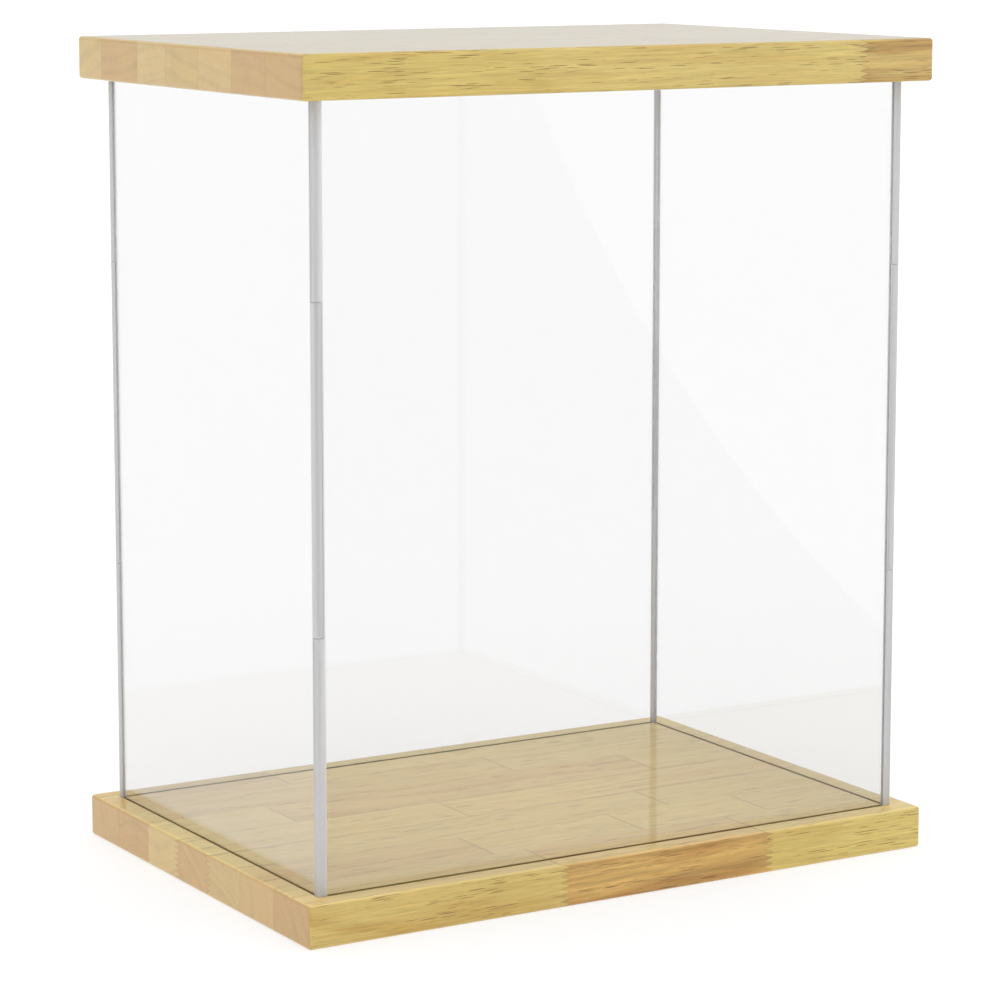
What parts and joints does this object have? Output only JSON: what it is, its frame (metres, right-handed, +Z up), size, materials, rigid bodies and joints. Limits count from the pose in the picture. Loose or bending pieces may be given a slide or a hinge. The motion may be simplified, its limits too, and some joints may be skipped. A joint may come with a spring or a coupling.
{
  "type": "display case",
  "caption": "Table-top display case with a wooden base, a lift-off wooden lid and interlocking clear acrylic walls standing in grooves.",
  "frame": {"origin": "middle of the base's underside", "axes": "+X along the width, from the left end to the right end; +Y from the front to the back; +Z up"},
  "size_m": [0.3, 0.205, 0.35],
  "materials": {
    "pale_stave": "clear satin lacquer on pale yellow rubberwood",
    "golden_stave": "clear satin lacquer on golden rubberwood",
    "streaky_stave": "clear satin lacquer on rubberwood with dark streaks",
    "brown_stave": "clear satin lacquer on orange-brown rubberwood",
    "clear_acrylic": "clear cast acrylic with polished edges"
  },
  "bodies": {
    "base": {"base_row1_stave1": "streaky_stave", "base_row1_stave2": "brown_stave", "base_row1_stave3": "pale_stave", "base_row2_stave1": "brown_stave", "base_row2_stave2": "golden_stave", "base_row2_stave3": "pale_stave", "base_row2_stave4": "golden_stave", "base_row3_stave1": "golden_stave", "base_row3_stave2": "pale_stave", "base_row4_stave1": "golden_stave", "base_row4_stave2": "streaky_stave", "base_row5_stave1": "pale_stave", "base_row5_stave2": "brown_stave", "base_row5_stave3": "pale_stave", "base_row6_stave1": "streaky_stave", "base_row6_stave2": "golden_stave", "base_row7_stave1": "brown_stave", "base_row7_stave2": "pale_stave"},
    "walls": {"front_panel": "clear_acrylic", "back_panel": "clear_acrylic", "left_panel": "clear_acrylic", "right_panel": "clear_acrylic"},
    "lid": {"lid_row1_stave1": "pale_stave", "lid_row1_stave2": "streaky_stave", "lid_row2_stave1": "golden_stave", "lid_row2_stave2": "brown_stave", "lid_row3_stave1": "streaky_stave", "lid_row3_stave2": "golden_stave", "lid_row4_stave1": "pale_stave", "lid_row4_stave2": "golden_stave", "lid_row5_stave1": "golden_stave", "lid_row5_stave2": "streaky_stave", "lid_row6_stave1": "pale_stave", "lid_row6_stave2": "brown_stave", "lid_row7_stave1": "pale_stave", "lid_row7_stave2": "brown_stave"}
  },
  "joints": [
    {"name": "walls_lift", "type": "slide", "parent": "base", "child": "walls", "axis": [0, 0, 1], "range_m": [0, 0.34]},
    {"name": "lid_lift", "type": "slide", "parent": "walls", "child": "lid", "axis": [0, 0, 1], "range_m": [0, 0.25]}
  ]
}
